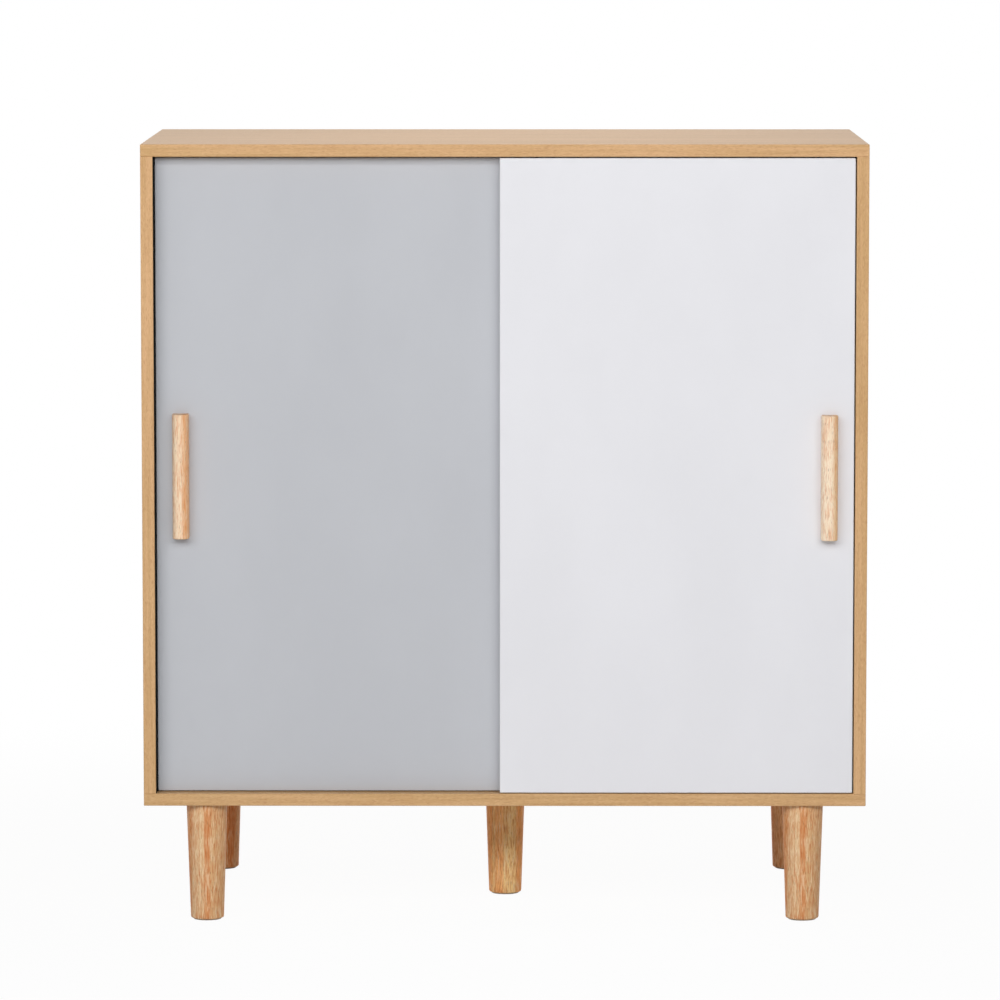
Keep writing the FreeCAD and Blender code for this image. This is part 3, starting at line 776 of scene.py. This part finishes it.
class Recess(Enum):
    """Driver recess in a screw's head."""

    CROSS = "cross"
    HEX = "hex"

    def outline(self, angle: np.ndarray, size: float) -> np.ndarray:
        """Distance from the axis to the recess's wall.

        A cross is two bars: along a ray, the wall is where it leaves the longer of its two stretches
        inside them. A hexagon's wall is half its width over the cosine of the angle from the nearest
        flat's middle.

        Args:
            angle: Angles about the axis.
            size: The cross's half length, or half the hexagon's width.

        Returns:
            The distance at each angle.
        """
        if self is Recess.HEX:
            flat = FULL_TURN / 6
            return size / np.cos((angle + flat / 2) % flat - flat / 2)
        bar = size * CROSS_BAR
        ways = np.abs(np.cos(angle)), np.abs(np.sin(angle))
        long, short = np.maximum(*ways), np.maximum(np.minimum(*ways), 1e-9)
        return np.maximum(np.minimum(size / long, bar / short), np.minimum(size / short, bar / long))


@dataclass(frozen=True)
class Screw:
    """Countersunk wood screw with a driver recess and a thread."""

    recess: Recess
    recess_size: float
    recess_depth: float
    head: float
    head_height: float
    shank: float
    pitch: float
    rim: float = 0.03  # the head's rounded rim, as a share of its radius
    recess_floor: float = 0.86  # width of the recess's floor, as a share of its mouth
    core: float = 0.72  # the thread's root, as a share of the shank
    point: float = 1.5  # length of the pointed end, in shank radii
    around: int = 48
    winding_rings: int = 8  # rings in each turn of the thread

    def shell(self, axis: Axis, origin: Point, length: float) -> Shell:
        """The screw's surface, from the floor of its recess over its head to its tip.

        Below the neck the radius is core + (shank - core) * (1 - |2 f - 1|), where f is the fraction of
        height / pitch - angle / a full turn, so its crest winds down the shank as a thread.

        Args:
            axis: The way the screw points.
            origin: The middle of its head's face.
            length: Head's face to tip.

        Returns:
            The shell.
        """
        angle = angles(self.around)
        wall, plain = self.recess.outline(angle, self.recess_size), np.ones(self.around)
        rim, core, tip = self.head * self.rim, self.shank * self.core, length - self.shank * self.point
        heights = np.arange(self.head_height + self.pitch, tip, self.pitch / self.winding_rings)
        winding = (heights[:, None] / self.pitch - angle / FULL_TURN) % 1
        thread = core + (self.shank - core) * (1 - np.abs(2 * winding - 1))
        rings = [
            (wall / 2, self.recess_depth),
            (wall * self.recess_floor, self.recess_depth),
            (wall, 0.0),
            (plain * (self.head - rim), 0.0),
            (plain * self.head, rim),
            (plain * self.shank, self.head_height),
            *zip(thread, heights),
            (plain * core * 0.9, tip),
            (plain * core * 0.15, length),
        ]
        return turned(np.array([np.append(*ring) for ring in rings]), axis, origin, self.around)


# Sub-assemblies


@dataclass
class Assembly:
    """Some of the cabinet's pieces, over the frame's nodes by name."""

    nodes: dict[str, bpy.types.Object]

    def dress(self, finish: Finish, *names: str) -> None:
        """Lays a finish on the CAD nodes with these names."""
        for name in names:
            thing = self.nodes[name]
            if not thing.material_slots:
                thing.data.materials.append(None)
            for slot in thing.material_slots:
                slot.material = finish.material
            LOG.info("%s: %s", name, finish.name)


@dataclass
class Carcass(Assembly):
    """The fixed case: boards, back, shelves, tracks and joint fittings."""

    edge_ease: float = 0.0006  # the boards' chamfered arrises
    upright_count: int = 3  # the two sides and the partition
    screw: Screw = Screw(Recess.HEX, 0.002, 0.0024, 0.005, 0.003, shank=0.0032, pitch=0.003)

    def dress_boards(self) -> None:
        """Prints the boards, with the grain along each one's length."""
        low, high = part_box("top_panel")
        raw_back = high.y - self.edge_ease
        for name, seed in (("top_panel", 1.3), ("bottom_panel", 7.9)):
            self.dress(BeechDecor(f"beech_{name}", Grain.ACROSS_FRONT, low.y, high.x, raw_back, seed), name)
        sides = BeechDecor("beech_sides", Grain.UPRIGHT, low.y, raw_back=raw_back, seed=3.1)
        self.dress(sides, "left_side_panel", "right_side_panel")
        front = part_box("centre_partition")[0].y
        self.dress(BeechDecor("beech_partition", Grain.UPRIGHT, front, seed=5.7), "centre_partition")
        shelves = [f"{level}_{side}_shelf" for level in ("lower", "upper") for side in SIDES]
        self.dress(BeechDecor("beech_shelves", front_edge=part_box(shelves[0])[0].y, seed=11.2), *shelves)
        back = Hardboard("hardboard", outer_face=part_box("left_back_panel")[1].y - self.edge_ease / 2)
        self.dress(back, "left_back_panel", "right_back_panel")

    def dress_fittings(self) -> None:
        """Finishes what joins the boards and carries the shelves and doors."""
        self.dress(STRIP_PLASTIC, "back_joint_strip")
        self.dress(FOAM, "left_seal", "right_seal")
        tracks = [f"{door}_{level}_track" for door in ("front", "rear") for level in ("top", "bottom")]
        self.dress(TRACK_PLASTIC, *tracks)
        self.dress(ZINC, "cam_locks")
        self.dress(STEEL, "cam_bolts", "left_shelf_pins", "right_shelf_pins")
        self.dress(DOWEL_WOOD, "dowels")

    def make_screws(self) -> None:
        """Puts the threaded screws with their hex sockets under the uprights."""
        low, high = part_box("confirmat_screws")
        head = self.screw.head
        across = np.linspace(low.x + head, high.x - head, self.upright_count)
        places = [(x, y, low.z) for x in across for y in (low.y + head, high.y - head)]
        shells = [self.screw.shell(Axis.UP, place, high.z - low.z) for place in places]
        Piece("case_screws", shells, STEEL, "steel", "carcass", "confirmat_screws").make()

    def build(self) -> None:
        """Finishes the whole case."""
        self.dress_boards()
        self.dress_fittings()
        self.make_screws()


@dataclass(frozen=True)
class Leg:
    """Where a leg stands and the wood that it was turned from, with painted light in the wood of the centre
    and rear legs.
    """

    name: str
    right: int  # 1 at the right, -1 at the left
    back: int  # 1 at the back, -1 at the front
    wood: Finish
    turn: float = 0.0  # degrees by which it is turned in its wood


@dataclass
class Legs(Assembly):
    """Five turned legs on felt pads."""

    foot_radius: float = 0.0202
    foot_round: float = 0.0022
    top_radius: float = 0.025
    pad_round: float = 0.0006
    around: int = 96
    rows: int = 16  # rings up the taper
    legs: tuple[Leg, ...] = (
        Leg("front_left", -1, -1, LEG_WOOD),
        Leg("front_right", 1, -1, LEG_WOOD, 4.0),
        Leg("centre", 0, 0, PAINTED_LIGHT_LEG_WOOD),
        Leg("rear_left", -1, 1, PAINTED_BOUNCE_LEG_WOOD, 256.0),
        Leg("rear_right", 1, 1, PAINTED_BOUNCE_LEG_WOOD, 248.0),
    )

    def reach(self) -> tuple[float, float]:
        """How far the outer legs' axes stand from the middle along x and y, read from the legs' box."""
        _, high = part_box("legs")
        return high.x - self.top_radius, high.y - self.top_radius

    def leg_profile(self) -> np.ndarray:
        """Radius and height from the foot's flat, round its edge and up the straight taper."""
        low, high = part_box("legs")
        foot, top = self.foot_radius, self.top_radius
        sole = filleted([(foot / 2, low.z, 0), (foot, low.z, self.foot_round), (top, high.z, 0)])[:-1]
        height = np.linspace(sole[-1, 1], high.z, self.rows)[1:]
        slope = (top - foot) / (high.z - low.z)
        taper = np.stack([foot + slope * (height - low.z), height], axis=-1)
        return np.concatenate([sole, taper, [[top / 2, high.z]]])

    def pad_profile(self) -> np.ndarray:
        """Radius and height of a pad with soft edges."""
        low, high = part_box("foot_pads")
        radius, ease = high.x - self.reach()[0], self.pad_round
        half = [(radius / 2, low.z, 0), (radius, low.z, ease)]
        return filleted(half + [(radius, high.z, ease), (radius / 2, high.z, 0)])

    def build(self) -> None:
        """Turns the legs and pads, and plates what is inside them."""
        self.dress(STEEL, "leg_bolts", "leg_inserts")
        x, y = self.reach()
        leg_profile, pad_profile = self.leg_profile(), self.pad_profile()
        for leg in self.legs:
            origin = (leg.right * x, leg.back * y, 0.0)
            wood = turned(leg_profile, Axis.UP, origin, self.around)
            grain = GrainPlace(origin, leg.turn)
            Piece(f"leg_{leg.name}", [wood], leg.wood, "rubberwood", "carcass", "legs", grain).make()
            felt = turned(pad_profile, Axis.UP, origin, self.around)
            Piece(f"pad_{leg.name}", [felt], FELT, "felt", "carcass", "foot_pads").make()


@dataclass
class SlidingDoor(Assembly):
    """A lacquered door with its pull, rollers and top guides."""

    name: str
    finish: Finish
    pull_finish: Finish
    grain_shift: Point = (0.0, 0.0, 0.0)
    pull_round: float = 0.0014
    pull_arc: int = 40  # points round the pull's half-round front
    pull_flat: int = 5  # points along each straight side of its section
    pull_rings: int = 12  # rings up its straight length
    screw: Screw = Screw(Recess.CROSS, 0.0023, 0.0016, 0.004, 0.0024, shank=0.002, pitch=0.0014)
    wheel_bore: float = 0.00155
    wheel_hub: float = 0.0034
    wheel_rim: float = 0.0070
    wheel_web: float = 0.0007  # how deep the web lies under the rim
    wheel_crown: float = 0.0004
    wheel_around: int = 96

    def dress_panel(self) -> None:
        """Lacquers the door and finishes its fittings."""
        self.dress(self.finish, f"{self.name}_door_panel")
        self.dress(HOUSING_PLASTIC, f"{self.name}_roller_cups", f"{self.name}_guide_housings")
        self.dress(STEEL, f"{self.name}_roller_axles")
        self.dress(HOUSING_PLASTIC, *(f"{self.name}_{side}_guide_slider" for side in SIDES))

    def pull_section(self, inset: np.ndarray, half: float, depth: float) -> np.ndarray:
        """Rings of the pull's D-shaped section.

        The front is a half circle whose radius, and with it the half width, is less by the inset. The
        sides run straight back to the door's face, where the flat back closes the ring.

        Args:
            inset: How far each ring's front and sides lie inside the full section.
            half: Half the pull's width.
            depth: Door's face to the pull's nose.

        Returns:
            x and y of every point, ring by ring, from the face's middle.
        """
        angle = np.linspace(0, math.pi, self.pull_arc)
        radius, shoulder = (half - inset)[:, None], half - depth
        ones = np.ones_like(radius)
        side = np.linspace(shoulder, 0, self.pull_flat + 1)[1:]
        across = np.linspace(-1, 1, self.pull_flat + 1)[1:]
        front = np.stack([radius * np.cos(angle), shoulder - radius * np.sin(angle)], axis=-1)
        left = np.stack([radius * -np.ones(len(side)), side * ones], axis=-1)
        back = np.stack([radius * across, 0 * radius * across], axis=-1)
        right = left[:, -2::-1] * [-1, 1]  # the left side mirrored, on from the corner that the back ends at
        return np.concatenate([front, left, back, right], axis=1)

    def make_pull(self) -> None:
        """Sweeps the section up the pull, drawn in along a quarter circle at each end."""
        node = f"{self.name}_handle"
        low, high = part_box(node)
        half, depth = (high.x - low.x) / 2, high.y - low.y
        bend = np.linspace(0, math.pi / 2, ARC_POINTS)
        inset = self.pull_round * (1 - np.sin(bend))
        rise = self.pull_round * (1 - np.cos(bend))
        straight = np.linspace(low.z, high.z, self.pull_rings + 2)[1:-1]
        height = np.concatenate([low.z + rise, straight, (high.z - rise)[::-1]])
        section = self.pull_section(np.concatenate([inset, 0 * straight, inset[::-1]]), half, depth)
        middle = (low.x + high.x) / 2
        tall = np.broadcast_to(height[:, None, None], section.shape[:2] + (1,))
        rings = np.concatenate([section + np.array([middle, high.y]), tall], axis=-1)
        poles = np.array([[middle, high.y - depth / 2, z] for z in (low.z, high.z)])
        grain = GrainPlace((middle, high.y, (low.z + high.z) / 2), 0.0, self.grain_shift)
        shells, body = [Shell(rings, poles)], f"{self.name}_door"
        Piece(f"{self.name}_pull", shells, self.pull_finish, "rubberwood", body, node, grain).make()

    def make_screws(self) -> None:
        """Drives the pull's two screws, with cross recesses, in from the door's rear face."""
        node = f"{self.name}_handle_screws"
        low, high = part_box(node)
        middle, head = (low.x + high.x) / 2, self.screw.head
        places = [(middle, high.y, z) for z in (low.z + head, high.z - head)]
        shells = [self.screw.shell(Axis.FORWARD, place, high.y - low.y) for place in places]
        Piece(f"{self.name}_pull_screws", shells, STEEL, "steel", f"{self.name}_door", node).make()

    def wheel_profile(self, radius: float, half: float) -> np.ndarray:
        """Closed section of a wheel: bore, hub, thin web, rim and crowned tread.

        Args:
            radius: Over the tread.
            half: Half the wheel's thickness.

        Returns:
            Radius and height of each point.
        """
        web = half - self.wheel_web
        side = [
            (self.wheel_bore, -half, 0.0002),
            (self.wheel_hub, -half, 0.0002),
            (self.wheel_hub, -web, 0.0001),
            (self.wheel_rim, -web, 0.0001),
            (self.wheel_rim, -half, 0.0002),
            (radius - self.wheel_crown, -half, 0.0003),
            (radius, -half / 3, 0.0012),
        ]
        return filleted(side + [(out, -along, fillet) for out, along, fillet in reversed(side)])

    def make_wheels(self) -> None:
        """Turns each wheel about its axle."""
        for side in SIDES:
            node = f"{self.name}_{side}_wheel"
            low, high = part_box(node)
            profile = self.wheel_profile((high.z - low.z) / 2, (high.y - low.y) / 2)
            shell = turned(profile, Axis.FORWARD, tuple((low + high) / 2), self.wheel_around, closed=True)
            Piece(f"{self.name}_{side}_tyre", [shell], NYLON, "nylon", node, node).make()

    def build(self) -> None:
        """Finishes the door."""
        self.dress_panel()
        self.make_pull()
        self.make_screws()
        self.make_wheels()


# Studio


@dataclass
class Softbox:
    """Large soft lamp."""

    name: str
    place: Point
    aim: Point
    width: float
    height: float
    power: float

    def build(self) -> None:
        """Hangs the lamp, facing its aim, where no camera or mirror sees it."""
        lamp = bpy.data.lights.new(self.name, "AREA")
        lamp.shape = "RECTANGLE"
        lamp.size, lamp.size_y = self.width, self.height
        lamp.energy = self.power
        made = shown(self.name, lamp)
        made.location = self.place
        way = Vector(self.aim) - Vector(self.place)
        made.rotation_euler = way.to_track_quat("-Z", "Y").to_euler()
        made.visible_camera = made.visible_glossy = False


@dataclass
class Studio:
    """Pale floor, white surround, soft lamps and the camera."""

    floor_half: float = 30.0
    floor_grey: Colour = (0.8, 0.8, 0.8, 1.0)
    floor_white: float = 0.96  # share of the floor by the cabinet that shows as plain white
    fade_from: float = 0.7  # distance at which that share starts to grow, in metres
    fade_to: float = 1.8  # distance past which the floor is all plain white
    surround: float = 0.1  # light from all round, where white is 1
    camera_place: Point = (0.0216, -7.5396, 1.2656)
    camera_turn: float = 0.2137  # degrees to the left of straight on
    camera_tilt: float = 5.8279  # degrees down
    camera_reach: float = 200.0
    focal: float = 6.0617  # focal length in picture widths
    sensor: float = 36.0
    lamps: tuple[Softbox, ...] = (
        Softbox("lower_bank", (-0.3, -4.6, 2.2), (0.0, 0.0, 0.5), 9.0, 0.8, 152.0),
        Softbox("upper_bank", (-0.3, -4.6, 3.45), (0.0, 0.0, 0.5), 9.0, 0.6, 107.0),
        Softbox("overhead", (0.0, 0.05, 1.75), (0.0, 0.05, 0.95), 0.5, 0.5, 3.0),
        Softbox("rear_bank", (0.0, 4.6, 0.48), (0.0, 0.0, 0.48), 9.0, 0.8, 260.0),
    )

    @staticmethod
    def looked_at(paint: Paint) -> Signal:
        """1 for what the camera sees, straight, mirrored or through glass, and 0 for light on its way."""
        rays = paint.node("ShaderNodeLightPath").socket.node.outputs
        ways = [Signal(paint, rays[f"Is {way} Ray"]) for way in ("Camera", "Glossy", "Transmission")]
        return ways[0].most(ways[1]).most(ways[2])

    def make_floor(self) -> None:
        """Lays the floor, which shows the cabinet's shadow on white."""
        edge = self.floor_half
        mesh = bpy.data.meshes.new("floor")
        corners = [(-edge, -edge, 0), (edge, -edge, 0), (edge, edge, 0), (-edge, edge, 0)]
        mesh.from_pydata(corners, [], [(0, 1, 2, 3)])
        material = bpy.data.materials.new("studio_floor")
        paint = Paint(material)
        colour = paint.mix(paint.noise(paint.place(), 1.5) * 0.03, self.floor_grey, WHITE)
        matt = paint.node("ShaderNodeBsdfDiffuse", None, {"Color": colour})
        white = paint.node("ShaderNodeEmission", None, {"Color": WHITE, "Strength": 1.0})
        x, y, _ = paint.split(paint.place())
        far = paint.math("SQRT", x * x + y * y).rise(self.fade_from, self.fade_to)
        share = self.looked_at(paint) * (self.floor_white + far * (1 - self.floor_white))
        paint.finish(paint.node("ShaderNodeMixShader", None, {0: share, 1: matt, 2: white}))
        mesh.materials.append(material)
        shown("floor", mesh)

    def make_surround(self) -> None:
        """Lights from all round, and is plain white where it is seen or mirrored."""
        world = bpy.data.worlds.new("studio")
        bpy.context.scene.world = world
        paint = Paint(world)
        strength = self.surround + self.looked_at(paint) * (1 - self.surround)
        light = paint.node("ShaderNodeBackground", None, {"Color": WHITE, "Strength": strength})
        paint.finish(light, "ShaderNodeOutputWorld")

    def make_camera(self) -> None:
        """Sets the camera before the cabinet."""
        lens = bpy.data.cameras.new("camera")
        lens.sensor_width = self.sensor
        lens.lens = self.focal * self.sensor
        lens.clip_end = self.camera_reach
        camera = shown("camera", lens)
        camera.location = self.camera_place
        camera.rotation_euler = (math.radians(90 - self.camera_tilt), 0.0, math.radians(self.camera_turn))
        bpy.context.scene.camera = camera

    def build(self) -> None:
        """Sets up the whole studio."""
        bpy.context.scene.view_settings.view_transform = "Standard"
        self.make_floor()
        self.make_surround()
        self.make_camera()
        for lamp in self.lamps:
            lamp.build()


def main() -> None:
    """Builds the dressed cabinet in its studio."""
    logging.basicConfig(level=logging.INFO, format="%(name)s: %(message)s")
    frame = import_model()
    nodes = frame["nodes"]
    Studio().build()
    Carcass(nodes).build()
    Legs(nodes).build()
    SlidingDoor(nodes, "front", WHITE_LACQUER, WHITE_PULL_WOOD, (0.0, 0.0, 0.31)).build()
    SlidingDoor(nodes, "rear", GREY_LACQUER, GREY_PULL_WOOD).build()


if __name__ == "__main__":
    main()
